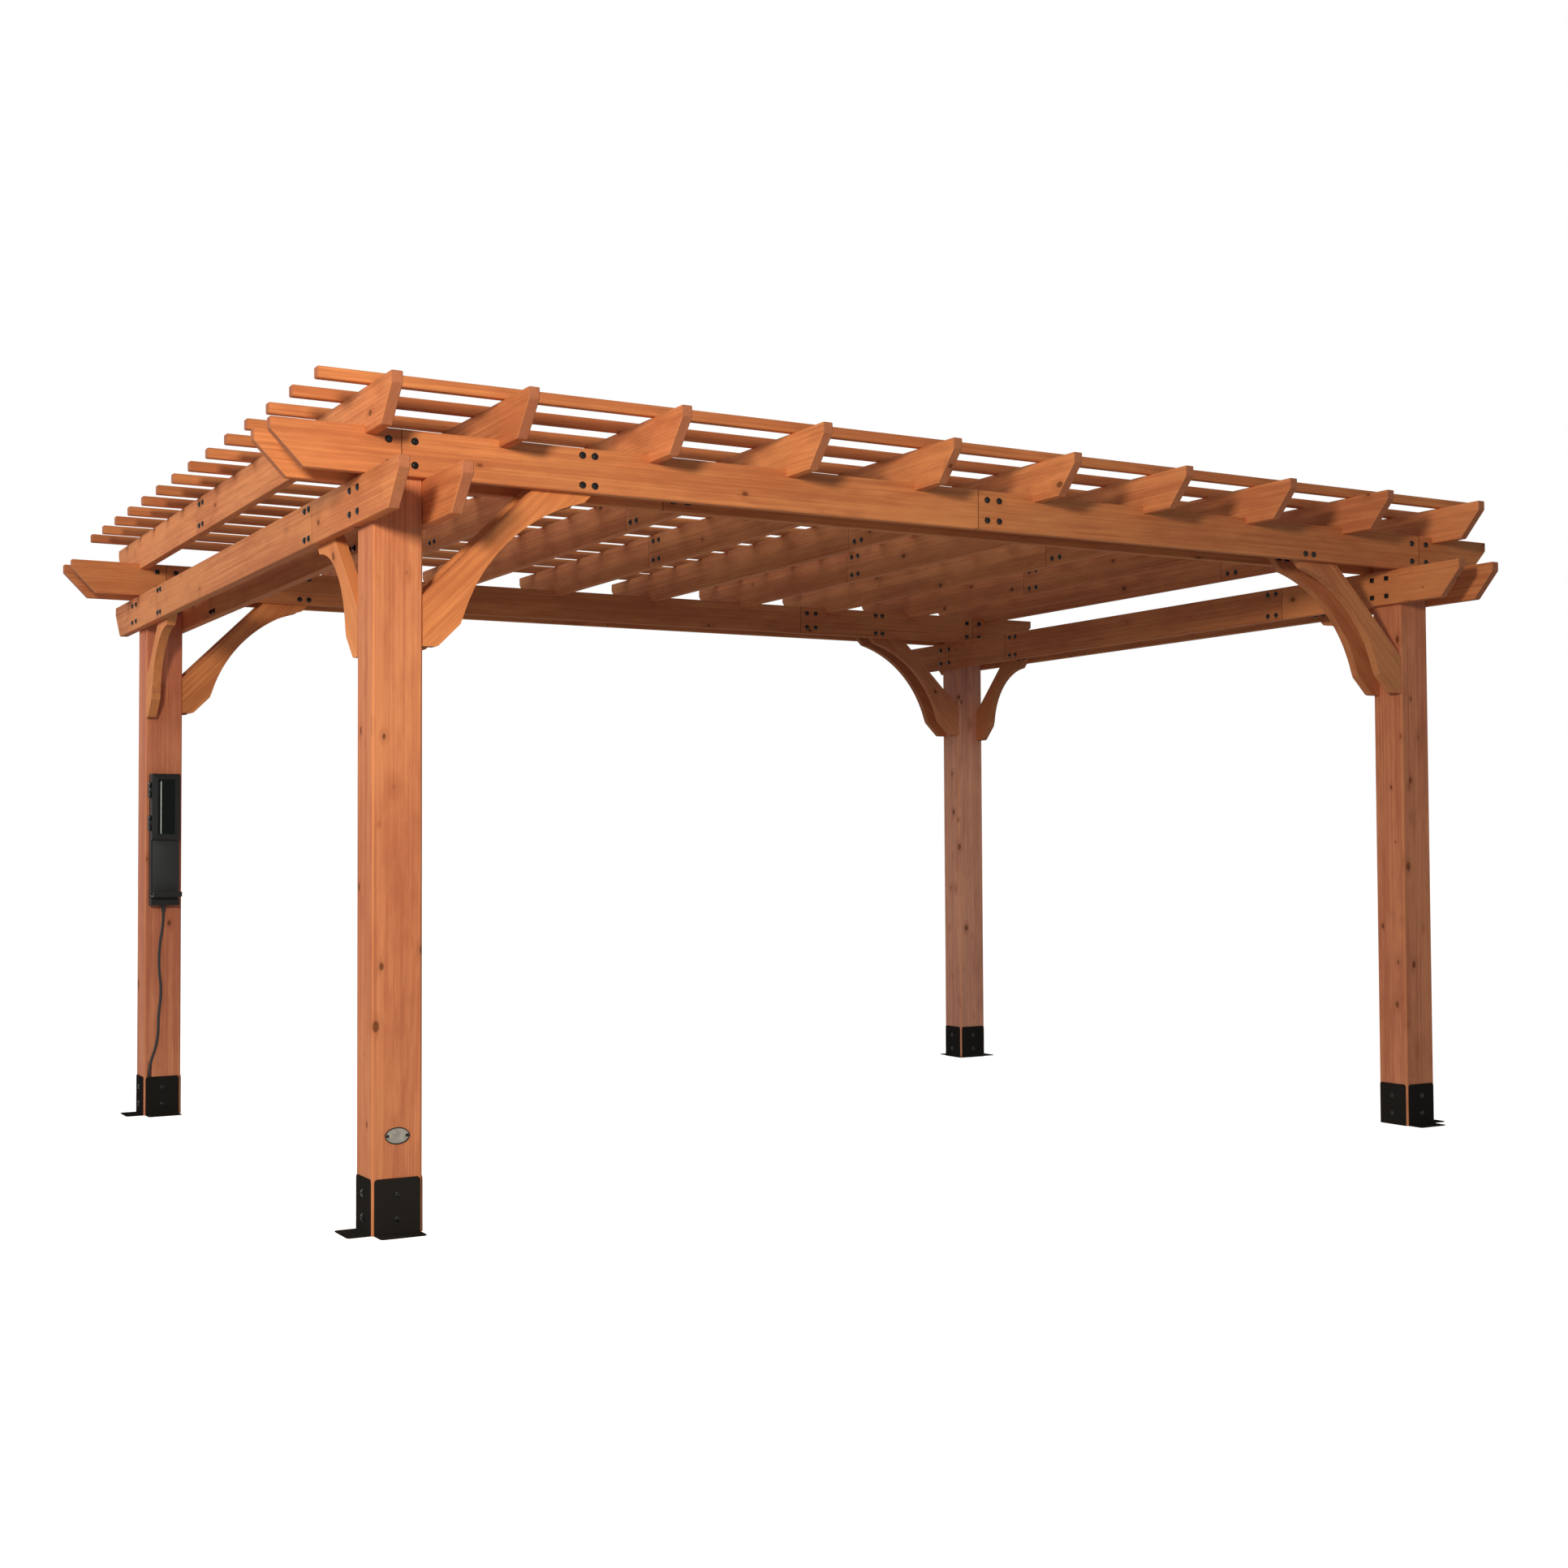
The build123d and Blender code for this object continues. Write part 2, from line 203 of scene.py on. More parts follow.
class PergolaStageSettings(bpy.types.PropertyGroup):
    """Camera, lamps and floor."""

    camera_place: spot("Camera place", "Where the camera stands", (-3.6610, -6.9294, 1.0318))
    camera_yaw: angle("Camera yaw", "Turn of the camera to the right, away from the depth", 0.54527)
    camera_pitch: angle("Camera pitch", "Tilt of the camera above the horizon", 0.03290)
    camera_roll: angle("Camera roll", "Turn of the camera about its line of sight", -0.00660)
    camera_lens: FloatProperty(
        name="Lens",
        description="Focal length behind a sensor 36 mm wide",
        default=46.149,
        subtype="DISTANCE_CAMERA",
    )
    camera_shift: ratio("Shift", "Sideways shift of the picture, as a share of its width", -0.0605)
    key_place: spot("Key place", "Middle of the soft lamp at the front left", (-4.10, -4.90, 2.55))
    key_aim: spot("Key aim", "Where the soft lamp points", (0.6, -1.2, 1.5))
    key_size: metres("Key size", "Diameter of the soft lamp", 0.65)
    key_power: watts("Key power", "Radiant power of the soft lamp", 173.0)
    key_color: light("Key colour", "Warm light of the soft lamp", (1.0, 0.955, 0.745))
    fill_place: spot("Fill place", "Middle of the broad lamp above on the left", (-5.4, 0.9, 2.9))
    fill_size: metres("Fill size", "Diameter of the broad lamp", 1.6)
    fill_power: watts("Fill power", "Radiant power of the broad lamp", 74.0)
    fill_color: light("Fill colour", "Cool light of the broad lamp", (0.82, 0.91, 1.0))
    ambient: ratio("Ambient light", "Strength of the even light from all sides", 0.285)
    ambient_color: light("Ambient colour", "Even light, cooler than the key", (0.80, 1.0, 1.16))
    floor_size: metres("Floor size", "Side of the floor", 120.0)
    floor_tone: ratio("Floor tone", "Lightness of the floor that shows", 0.8)
    floor_glow: ratio("Floor glow", "What the floor that shows adds to reach white", 0.86)
    floor_bounce: ratio("Floor bounce", "Lightness of the floor for the light it throws up", 0.5)


class PergolaTimberSettings(bpy.types.PropertyGroup):
    """Colours of the stained cedar, with painted shade in the lightness of the braces on the right.
    """

    light_stain: paint("Light stain", "Stain on pale early wood", (0.770, 0.275, 0.104, 1.0))
    deep_stain: paint("Deep stain", "Where the wood takes more stain", (0.560, 0.172, 0.068, 1.0))
    late_wood: paint("Late wood", "Dark lines between growth rings", (0.380, 0.105, 0.046, 1.0))
    end_grain: paint("End grain", "Cut ends, where the stain soaks in", (0.430, 0.150, 0.085, 1.0))
    knot: paint("Knots", "Heart of a knot", (0.090, 0.028, 0.012, 1.0))
    front_left_stain: stain_of("the front left post", (0.4945, 0.97, 0.98))
    back_left_stain: stain_of("the back left post", (0.4925, 0.95, 1.05))
    front_right_stain: stain_of("the front right post", (0.4950, 0.95, 0.93))
    back_right_stain: stain_of("the back right post", (0.4955, 0.84, 1.05))
    beam_stain: stain_of("beams and slats", (0.4995, 1.0, 0.985))
    rafter_stain: stain_of("the rafters", (0.4985, 1.0, 1.04))
    left_brace_shading_and_stain: stain_of("the braces on the left", (0.5005, 1.01, 1.03))
    # The braces on the right keep the stain's hue; their lower lightness is painted shade
    right_brace_shading_and_stain: stain_of("the braces on the right", (0.4985, 0.98, 0.90))
    knot_share: ratio("Knot share", "Density of knots in all boards but the posts", 1.0)
    post_knots: FloatVectorProperty(
        name="Knots of posts",
        description="Density of knots in the posts: front left, front right, back left, back right",
        default=(1.4, 1.7, 1.0, 1.5),
        size=4,
    )


class PergolaCoatSettings(bpy.types.PropertyGroup):
    """Colours of steel, plastic and rubber, and of the bright strip beside the pane that is a
    painted reflection.
    """

    black_plate_steel: paint("Plates", "Coat of the foot plates", (0.0224, 0.0182, 0.0160, 1.0))
    black_bolt_steel: paint("Bolts", "Coat of bolts, nuts and screws", (0.0035, 0.003, 0.003, 1.0))
    black_hinge_steel: paint("Hinges", "Coat of the hinge beads", (0.006, 0.0055, 0.0055, 1.0))
    moulded_black_plastic: paint("Box", "Housing and cover", (0.012, 0.0113, 0.011, 1.0))
    slate_panel_plastic: paint("Panel", "Panel below the cover", (0.042, 0.0412, 0.0435, 1.0))
    smoked_pane: paint("Pane", "Dark pane in the cover", (0.004, 0.0068, 0.0052, 1.0))
    cord_rubber: paint("Cord", "Jacket and gland of the cord", (0.012, 0.0095, 0.0075, 1.0))
    # Colour of the bright strip beside the pane, which is a painted reflection
    bright_seal: paint("Seal", "Seal beside the pane", (0.80, 0.80, 0.78, 1.0))
    dark_zinc: paint("Dark zinc", "Oval plate between brush lines", (0.21, 0.195, 0.175, 1.0))
    light_zinc: paint("Light zinc", "Oval plate on brush lines", (0.36, 0.335, 0.305, 1.0))


class PergolaFastenerSettings(bpy.types.PropertyGroup):
    """Sizes and spacing of bolts and nuts."""

    head_radius: metres("Head radius", "Radius of a bolt's dome head", 0.0105)
    head_height: metres("Head height", "Height of a bolt's dome head", 0.006)
    nut_radius: metres("Nut radius", "Reach of the four lobes of a nut", 0.013)
    nut_height: metres("Nut height", "Thickness of a lobed nut", 0.005)
    post_run: metres("Run on posts", "Distance between a post's bolts along the beam", 0.073)
    post_rise: metres("Rise on posts", "Height between the bolts of a post", 0.066)
    brace_rise: metres("Rise on braces", "Height between the bolts of a brace", 0.086)
    cross_brace_steps: metre_pair(
        "Steps on cross braces", "Bolts' way back from the tip of a cross brace", (0.090, 0.128)
    )
    side_brace_steps: metre_pair(
        "Steps on side braces", "Bolts' way back from the tip of a side brace", (0.065, 0.110)
    )
    splice_steps: metre_pair("Steps beside seams", "From a seam in a beam to bolts", (0.035, 0.082))
    rafter_steps: metre_pair("Steps on rafters", "From a rafter's seam to bolts", (0.042, 0.093))
    rafter_rise: metres("Rise on rafters", "Height between the bolts of a rafter", 0.076)
    plate_heights: metre_pair("Heights on plates", "Two bolts in each foot plate", (0.043, 0.109))


class PergolaPlateSettings(bpy.types.PropertyGroup):
    """The bare oval plate on the front left post."""

    width: metres("Width", "Width of the oval", 0.069)
    height: metres("Height", "Height of the oval", 0.046)
    thickness: metres("Thickness", "How far it stands out", 0.0022)
    level: metres("Level", "Height of its middle", 0.266)
    screw_spread: metres("Screw spread", "Distance of the two screws", 0.054)


class PergolaBoxSettings(bpy.types.PropertyGroup):
    """Trim of the power box: a painted reflection beside the pane, the slate panel and the hinge
    beads.
    """

    # The bright strip beside the pane is a painted reflection; these place it
    reflection_width: metres("Seal width", "Width of the bright seal", 0.0032)
    reflection_step: metres("Seal step", "Seal's distance from the pane's edge", 0.009)
    trim_rise: metres("Trim rise", "How far seal and panel stand out", 0.0008)
    panel_margin: metres("Panel margin", "Rim around the slate panel", 0.003)
    bead_radius: metres("Bead radius", "Radius of a hinge bead", 0.0062)


class PergolaCordSettings(bpy.types.PropertyGroup):
    """The cord below the power box."""

    diameter: metres("Diameter", "Diameter of the jacket", 0.010)
    length: metres("Length", "Length that shows", 0.698)


class Nodes:
    """Short ways to add shader nodes to one tree and to join their sockets."""

    def __init__(self, tree):
        self.tree = tree

    def feed(self, socket, value):
        if isinstance(value, bpy.types.NodeSocket):
            self.tree.links.new(value, socket)
        else:
            socket.default_value = value

    def add(self, kind, inputs=None, **settings):
        node = self.tree.nodes.new(kind)
        for key, value in settings.items():
            setattr(node, key, value)
        for key, value in (inputs or {}).items():
            self.feed(node.inputs[key], value)
        return node

    def math(self, operation, first, second=0.0):
        return self.add("ShaderNodeMath", {0: first, 1: second}, operation=operation).outputs[0]

    def vector(self, operation, first, second=(0.0, 0.0, 0.0)):
        node = self.add("ShaderNodeVectorMath", {0: first, 1: second}, operation=operation)
        return node.outputs["Value" if operation == "LENGTH" else "Vector"]

    def split(self, vector):
        return self.add("ShaderNodeSeparateXYZ", {"Vector": vector}).outputs

    def noise(self, vector, cells, detail, roughness=0.5):
        """Noise with so many cells per metre along each axis."""
        stretched = self.vector("MULTIPLY", vector, cells)
        inputs = {"Vector": stretched, "Scale": 1.0, "Detail": detail, "Roughness": roughness}
        return self.add("ShaderNodeTexNoise", inputs).outputs["Fac"]

    def fade(self, value, low, high, start=0.0, stop=1.0):
        """A smooth step from start at low to stop at high."""
        inputs = {"Value": value, "From Min": low, "From Max": high}
        inputs |= {"To Min": start, "To Max": stop}
        node = self.add("ShaderNodeMapRange", inputs, interpolation_type="SMOOTHSTEP")
        return node.outputs[0]

    def swing(self, value, low, high):
        """A value from 0 to 1 spread from low to high."""
        inputs = {"Value": value, "To Min": low, "To Max": high}
        return self.add("ShaderNodeMapRange", inputs, clamp=False).outputs[0]

    def mix(self, amount, first, second, blend="MIX"):
        """Two colours mixed."""
        inputs = {0: amount, 6: first, 7: second}
        return self.add("ShaderNodeMix", inputs, data_type="RGBA", blend_type=blend).outputs[2]

    def cover(self, color, coat, mask, amount):
        """A colour under a coat that lies where the mask is, by an amount."""
        return self.mix(self.math("MULTIPLY", mask, amount), color, coat)


def shader_group(name, inputs, outputs):
    """A new node group with named sockets: its nodes, its input and its output sockets."""
    tree = bpy.data.node_groups.new(name, "ShaderNodeTree")
    for label, kind in inputs.items():
        tree.interface.new_socket(label, in_out="INPUT", socket_type=kind)
    for label, kind in outputs.items():
        tree.interface.new_socket(label, in_out="OUTPUT", socket_type=kind)
    nodes = Nodes(tree)
    given = nodes.add("NodeGroupInput").outputs
    made = nodes.add("NodeGroupOutput").inputs
    return nodes, given, made


def cedar_group():
    """Figure of stained cedar, with painted shade along seams and a painted highlight on chamfered
    edges; the grain runs along the first axis of the vector.
    """
    name = "stained_cedar_figure"
    if name in bpy.data.node_groups:
        return bpy.data.node_groups[name]
    inputs = dict.fromkeys(("Vector", "Normal", "Board", "Stain"), "NodeSocketVector")
    inputs |= dict.fromkeys(("Seam", "Knottiness"), "NodeSocketFloat")
    colors = ("Light Stain", "Deep Stain", "Late Wood", "End Grain", "Knot")
    inputs |= dict.fromkeys(colors, "NodeSocketColor")
    nodes, given, made = shader_group(name, inputs, FINISH_OUTPUTS)
    board = nodes.split(given["Board"])
    apart = nodes.vector("MULTIPLY", given["Board"], BOARDS_APART)
    place = nodes.vector("ADD", given["Vector"], apart)
    noise = {
        part: nodes.noise(place, (along, across, across), detail, roughness)
        for part, (along, across, detail, roughness) in CEDAR_NOISES.items()
    }

    # Knots are small balls scattered through the board
    scattered = {
        "Vector": nodes.vector("MULTIPLY", place, KNOT_CELLS),
        "Scale": given["Knottiness"],
        "Randomness": 1.0,
    }
    cells = nodes.add("ShaderNodeTexVoronoi", scattered)
    hearts = nodes.vector("DIVIDE", cells.outputs["Position"], KNOT_CELLS)
    away = nodes.vector("MULTIPLY", nodes.vector("SUBTRACT", place, hearts), KNOT_DRAW)
    chance = nodes.split(cells.outputs["Color"])[0]
    radius = nodes.fade(chance, 0.2, 1.0, *KNOT_RADII)
    reach = nodes.math("DIVIDE", nodes.vector("LENGTH", away), radius)
    knot = nodes.fade(reach, 1.15, 0.7)
    halo = nodes.fade(reach, 3.2, 0.9)

    # Growth rings are the level lines of a slow noise that is stretched along the grain
    rings = nodes.math("MULTIPLY", noise["swell"], RING_COUNT)
    rings = nodes.math("ADD", rings, nodes.swing(noise["wander"], -RING_WANDER, RING_WANDER))
    rings = nodes.math("ADD", rings, nodes.math("MULTIPLY", halo, RING_BEND))
    phase = nodes.math("FRACT", rings)
    growth = nodes.math("MULTIPLY", nodes.fade(phase, 0.15, 0.88), nodes.fade(phase, 1.0, 0.93))

    # Bands, streaks and clouds run from deep to light stain, and fibres shade them
    tone = noise["band"]
    for part, shift in STAIN_SHIFTS.items():
        tone = nodes.math("ADD", tone, nodes.swing(noise[part], -shift, shift))
    tone = nodes.math("ADD", tone, nodes.swing(board[0], -BOARD_TONE, BOARD_TONE))
    color = nodes.mix(nodes.fade(tone, 0.0, 1.0), given["Deep Stain"], given["Light Stain"])
    color = nodes.cover(color, given["Late Wood"], growth, amount=0.15)
    shade = nodes.swing(noise["fibre"], 1.0 - FIBRE_SHADE, 1.0 + FIBRE_SHADE)
    color = nodes.mix(1.0, color, shade, "MULTIPLY")

    # Each board takes the stain a little differently
    stain = nodes.split(given["Stain"])
    lightness = nodes.swing(board[1], 1.0 - BOARD_LIGHTNESS, 1.0 + BOARD_LIGHTNESS)
    taken = {
        "Hue": nodes.math("ADD", stain[0], nodes.swing(board[2], -BOARD_HUE, BOARD_HUE)),
        "Saturation": stain[1],
        "Value": nodes.math("MULTIPLY", stain[2], lightness),
        "Color": color,
    }
    color = nodes.add("ShaderNodeHueSaturation", taken).outputs[0]

    # Cut ends and knots are darker, seams get a thin line of painted shade, and the chamfered edges
    # are rubbed a little lighter and also painted lighter as a highlight
    turned = nodes.split(nodes.vector("ABSOLUTE", given["Normal"]))
    end = nodes.fade(turned[0], 0.5, 0.66)
    # Chamfers along the grain are lighter: partly rubbed wear, partly a painted highlight
    edge_wear_and_highlight = nodes.fade(nodes.math("MULTIPLY", turned[1], turned[2]), 0.25, 0.42)
    end_color = nodes.cover(given["End Grain"], given["Late Wood"], growth, amount=0.25)
    color = nodes.cover(color, end_color, end, amount=0.75)
    color = nodes.cover(color, given["Light Stain"], edge_wear_and_highlight, amount=0.35)
    color = nodes.cover(color, given["Late Wood"], halo, amount=0.3)
    color = nodes.cover(color, given["Knot"], knot, amount=0.72)
    color = nodes.cover(color, given["Knot"], given["Seam"], amount=0.8)
    nodes.feed(made["Color"], color)

    rough = nodes.swing(noise["fibre"], 0.62, 0.72)
    rough = nodes.math("ADD", rough, nodes.math("MULTIPLY", end, 0.15))
    nodes.feed(made["Roughness"], rough)
    nodes.feed(made["Height"], nodes.math("MULTIPLY", noise["fibre"], 0.5))
    return nodes.tree


def coat_group():
    """Coats and jackets: a fine texture with dust in it."""
    name = "dusty_black_coat"
    if name in bpy.data.node_groups:
        return bpy.data.node_groups[name]
    inputs = {"Vector": "NodeSocketVector", "Coat": "NodeSocketColor", "Dust": "NodeSocketColor"}
    values = ("Dust Amount", "Grain Size", "Low Roughness", "High Roughness")
    inputs |= dict.fromkeys(values, "NodeSocketFloat")
    nodes, given, made = shader_group(name, inputs, FINISH_OUTPUTS)
    grain = nodes.noise(given["Vector"], nodes.math("DIVIDE", 1.0, given["Grain Size"]), 2.0)
    cloud = nodes.noise(given["Vector"], (9.0, 9.0, 5.0), 4.0, 0.65)
    specks = nodes.noise(given["Vector"], (210.0, 210.0, 160.0), 2.0)
    dust = nodes.math("MULTIPLY", nodes.fade(cloud, 0.42, 0.75), nodes.fade(specks, 0.35, 0.7))
    dust = nodes.math("MULTIPLY", dust, given["Dust Amount"])
    nodes.feed(made["Color"], nodes.mix(dust, given["Coat"], given["Dust"]))
    spread = nodes.math("SUBTRACT", given["High Roughness"], given["Low Roughness"])
    rough = nodes.math("ADD", given["Low Roughness"], nodes.math("MULTIPLY", grain, spread))
    rough = nodes.math("ADD", rough, nodes.math("MULTIPLY", dust, 0.3))
    nodes.feed(made["Roughness"], rough)
    nodes.feed(made["Height"], grain)
    return nodes.tree


def new_material(name, specular):
    """An empty material with its shader; the specular level is set on the shader itself."""
    material = bpy.data.materials.new(name)
    material.use_nodes = True
    shader = material.node_tree.nodes["Principled BSDF"]
    shader.inputs["Specular IOR Level"].default_value = specular
    return Nodes(material.node_tree), shader, material


def join_finish(nodes, shader, finish, bump_distance, bump_strength):
    """Join the outputs of a finish group to a shader."""
    nodes.feed(shader.inputs["Base Color"], finish.outputs["Color"])
    nodes.feed(shader.inputs["Roughness"], finish.outputs["Roughness"])
    relief = {
        "Height": finish.outputs["Height"],
        "Distance": bump_distance,
        "Strength": bump_strength,
    }
    nodes.feed(shader.inputs["Normal"], nodes.add("ShaderNodeBump", relief).outputs["Normal"])


def cedar(name, seed, grain, cut_axis, cuts, stain, knottiness):
    """Stained cedar with its grain along a direction; cuts part it into boards that differ."""
    settings = bpy.context.scene.pergola_timber
    nodes, shader, material = new_material(name, specular=0.03)
    turn = Vector(grain).rotation_difference(Vector((1.0, 0.0, 0.0))).to_euler()
    texture = nodes.add("ShaderNodeTexCoord").outputs
    place = nodes.add("ShaderNodeMapping", {"Vector": texture["Object"], "Rotation": turn})
    facing = {"Vector": texture["Normal"], "Rotation": turn}
    normal = nodes.add("ShaderNodeMapping", facing, vector_type="VECTOR")
    along = nodes.split(texture["Object"])[cut_axis]
    # Each cut starts a new board; a thin dark line along each cut is painted shade for the hairline
    # gap
    count = 0.0
    seam = 0.0
    for cut in cuts:
        count = nodes.math("ADD", nodes.math("GREATER_THAN", along, cut), count)
        off = nodes.math("ABSOLUTE", nodes.math("SUBTRACT", along, cut))
        seam = nodes.math("MAXIMUM", nodes.fade(off, SEAM_SHADE, SEAM_SHADE / 3), seam)
    number = nodes.add("ShaderNodeCombineXYZ", {0: float(seed), 1: count})
    board = nodes.add("ShaderNodeTexWhiteNoise", {"Vector": number.outputs[0]})
    sockets = {
        "Vector": place.outputs[0],
        "Normal": normal.outputs[0],
        "Board": board.outputs["Color"],
        "Seam": seam,
        "Knottiness": knottiness,
        "Stain": stain,
        "Light Stain": settings.light_stain,
        "Deep Stain": settings.deep_stain,
        "Late Wood": settings.late_wood,
        "End Grain": settings.end_grain,
        "Knot": settings.knot,
    }
    finish = nodes.add("ShaderNodeGroup", sockets, node_tree=cedar_group())
    join_finish(nodes, shader, finish, bump_distance=0.0012, bump_strength=0.35)
    return material


def coat(name):
    """A coat, plastic, rubber or painted reflection from the shared group with its own values."""
    if name in bpy.data.materials:
        return bpy.data.materials[name]
    dust, dust_amount, grain_size, low, high, specular, bump = COATS[name]
    nodes, shader, material = new_material(name, specular)
    sockets = {
        "Vector": nodes.add("ShaderNodeTexCoord").outputs["Object"],
        "Coat": getattr(bpy.context.scene.pergola_coats, name),
        "Dust": dust,
        "Dust Amount": dust_amount,
        "Grain Size": grain_size,
        "Low Roughness": low,
        "High Roughness": high,
    }
    finish = nodes.add("ShaderNodeGroup", sockets, node_tree=coat_group())
    join_finish(nodes, shader, finish, bump_distance=grain_size, bump_strength=bump)
    return material


def brushed_zinc():
    """Bare grey plate with brush lines along its width."""
    settings = bpy.context.scene.pergola_coats
    nodes, shader, material = new_material("brushed_zinc", specular=0.5)
    shader.inputs["Metallic"].default_value = 0.55
    place = nodes.add("ShaderNodeTexCoord").outputs["Object"]
    lines = nodes.noise(place, (90.0, 90.0, 5200.0), 2.0)
    stain = nodes.noise(place, (60.0, 60.0, 60.0), 3.0)
    tone = nodes.math("ADD", nodes.swing(lines, -0.3, 0.3), stain)
    color = nodes.mix(nodes.fade(tone, 0.2, 0.85), settings.dark_zinc, settings.light_zinc)
    nodes.feed(shader.inputs["Base Color"], color)
    nodes.feed(shader.inputs["Roughness"], nodes.swing(lines, 0.42, 0.58))
    return material


def dress(node, material):
    """Give a material to every slot of a piece of the frame."""
    mesh = frame["nodes"][node].data
    if not mesh.materials:
        mesh.materials.append(material)
    for index in range(len(mesh.materials)):
        mesh.materials[index] = material


def start_modelling():
    """Leave edit mode and deselect everything, so that operators act on new pieces alone."""
    if bpy.context.object and bpy.context.object.mode != "OBJECT":
        bpy.ops.object.mode_set(mode="OBJECT")
    bpy.ops.object.select_all(action="DESELECT")


def settle_place():
    """Put the place, turn and scale of the selected pieces into their meshes."""
    bpy.ops.object.transform_apply(location=True, rotation=True, scale=True)


def disc(sides, radius, depth):
    """Start a piece from a disc that lies on the origin."""
    start_modelling()
    bpy.ops.mesh.primitive_cylinder_add(
        vertices=sides,
        radius=radius,
        depth=depth,
        end_fill_type="NGON",
        location=(0.0, 0.0, depth / 2),
    )
    return bpy.context.object


def select(piece, mode, test):
    """Select the vertices, edges or faces of a piece that pass a test, in edit mode."""
    bpy.ops.object.mode_set(mode="EDIT")
    bpy.ops.mesh.select_mode(type=mode)
    bpy.ops.mesh.select_all(action="DESELECT")
    bpy.ops.object.mode_set(mode="OBJECT")
    mesh = piece.data
    for part in {"VERT": mesh.vertices, "EDGE": mesh.edges, "FACE": mesh.polygons}[mode]:
        part.select = test(part)
    bpy.ops.object.mode_set(mode="EDIT")


def looks_up(face):
    return face.normal.z > FACING


def raise_top(height, draw):
    """Extrude the selected top face upwards and draw it in."""
    bpy.ops.mesh.extrude_region_move(TRANSFORM_OT_translate={"value": (0.0, 0.0, height)})
    bpy.ops.transform.resize(value=(draw, draw, 1.0))


def finish_modelling(piece, smooth_angle):
    """Close the work on a piece: normals outwards, edges smooth below an angle in degrees."""
    bpy.ops.mesh.select_all(action="SELECT")
    bpy.ops.mesh.normals_make_consistent(inside=False)
    start_modelling()
    piece.select_set(True)
    bpy.context.view_layer.objects.active = piece
    bpy.ops.object.shade_smooth_by_angle(angle=math.radians(smooth_angle))


def dome_bolt(radius, height):
    """A dome head on a thin washer rim, with a socket in its crown."""
    bolt = disc(sides=12, radius=radius, depth=height / 4)
    settle_place()
    select(bolt, "FACE", looks_up)
    bpy.ops.mesh.inset(thickness=radius * 0.12)
    for rise, draw in DOME_STEPS:
        raise_top(height * rise, draw)
    finish_modelling(bolt, smooth_angle=50)
    return bolt


def lobed_nut(radius, height):
    """A nut with four lobes and the end of its bolt in the middle."""
    nut = disc(sides=8, radius=radius, depth=height)
    settle_place()

    def on_axis(vertex):
        return min(abs(vertex.co.x), abs(vertex.co.y)) < radius * 0.1

    def on_lobe(edge):
        first, second = (nut.data.vertices[index].co for index in edge.vertices)
        upright = (first - second).xy.length < radius * 0.01
        return upright and first.xy.length > radius * 0.9

    waist = 0.62
    select(nut, "VERT", on_axis)
    bpy.ops.transform.resize(value=(waist, waist, 1.0), center_override=(0.0, 0.0, 0.0))
    select(nut, "EDGE", on_lobe)
    bpy.ops.mesh.bevel(offset=radius * 0.3, segments=2, affect="EDGES")
    select(nut, "FACE", looks_up)
    for rise, draw in NUT_STEPS:
        raise_top(height * rise, draw)
    finish_modelling(nut, smooth_angle=40)
    return nut


def copies_of(master, places):
    """Copies of a piece at places, each turned to its direction, joined to one mesh."""
    copies = []
    for place, direction in places:
        copy = master.copy()
        copy.data = master.data.copy()
        bpy.context.scene.collection.objects.link(copy)
        turn = direction.to_track_quat("Z", "Y").to_matrix().to_4x4()
        copy.matrix_world = Matrix.Translation(place) @ turn
        copies.append(copy)
    bpy.data.objects.remove(master)
    start_modelling()
    for copy in copies:
        copy.select_set(True)
    bpy.context.view_layer.objects.active = copies[0]
    bpy.ops.object.join()
    settle_place()
    return bpy.context.object


def settle(piece, name, material, body):
    """Name a finished piece, give it its material and let it ride on its body."""
    piece.name = name
    piece.data.name = name
    piece.data.materials.clear()
    piece.data.materials.append(material)
    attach(piece, body)


def fasten(group, heads, nuts):
    """Model the bolts of one group, and the nuts of those that show them."""
    settings = bpy.context.scene.pergola_fasteners
    bolts = copies_of(dome_bolt(settings.head_radius, settings.head_height), heads)
    settle(bolts, f"{group}_bolts", coat("black_bolt_steel"), "frame")
    if nuts:
        nuts = copies_of(lobed_nut(settings.nut_radius, settings.nut_height), nuts)
        settle(nuts, f"{group}_nuts", coat("black_bolt_steel"), "frame")


def pair(middle, spread):
    return (middle - spread / 2, middle + spread / 2)


def seams(node, axis, reach):
    """Places of the hairline seams in a piece of the frame, within reach of the middle."""
    found = []
    for place in sorted(vertex.co[axis] for vertex in frame["nodes"][node].data.vertices):
        if abs(place) < reach and (not found or place - found[-1] > SEAM_WIDTH):
            found.append(place)
    return found


def clear_depth():
    """Half the depth between the inner cross beams, less the thickness of a board."""
    low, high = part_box("cross_beam_back_inner")
    return low.y - (high.y - low.y)


def bolt_grid(axis, face, runs, heights, outward):
    """Places and directions of bolts on a face that looks along an axis."""
    direction = Vector((0.0, 0.0, 0.0))
    direction[axis] = outward
    grid = []
    for run in runs:
        for height in heights:
            place = Vector((run, run, height))
            place[axis] = face
            grid.append((place, direction))
    return grid


def bolt_through(fasteners, axis, faces, runs, heights, outward):
    """Add bolts through boards: heads look outward on the first face, nuts back on the second."""
    heads, nuts = fasteners
    heads += bolt_grid(axis, faces[0], runs, heights, outward)
    nuts += bolt_grid(axis, faces[1], runs, heights, -outward)


def corner_beams():
    """For each post and axis: the axis that its bolts follow, its beams, and which way is out."""
    for end, side in CORNERS:
        yield (end, side), LONG, f"side_beam_{side}", -1 if side == "left" else 1
        yield (end, side), DEEP, f"cross_beam_{end}", -1 if end == "front" else 1


def board_faces(node, axis, outward):
    """The outer face, the inner face and the middle height of a board."""
    low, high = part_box(node)
    faces = (low[axis], high[axis]) if outward < 0 else (high[axis], low[axis])
    return faces[0], faces[1], (low.z + high.z) / 2


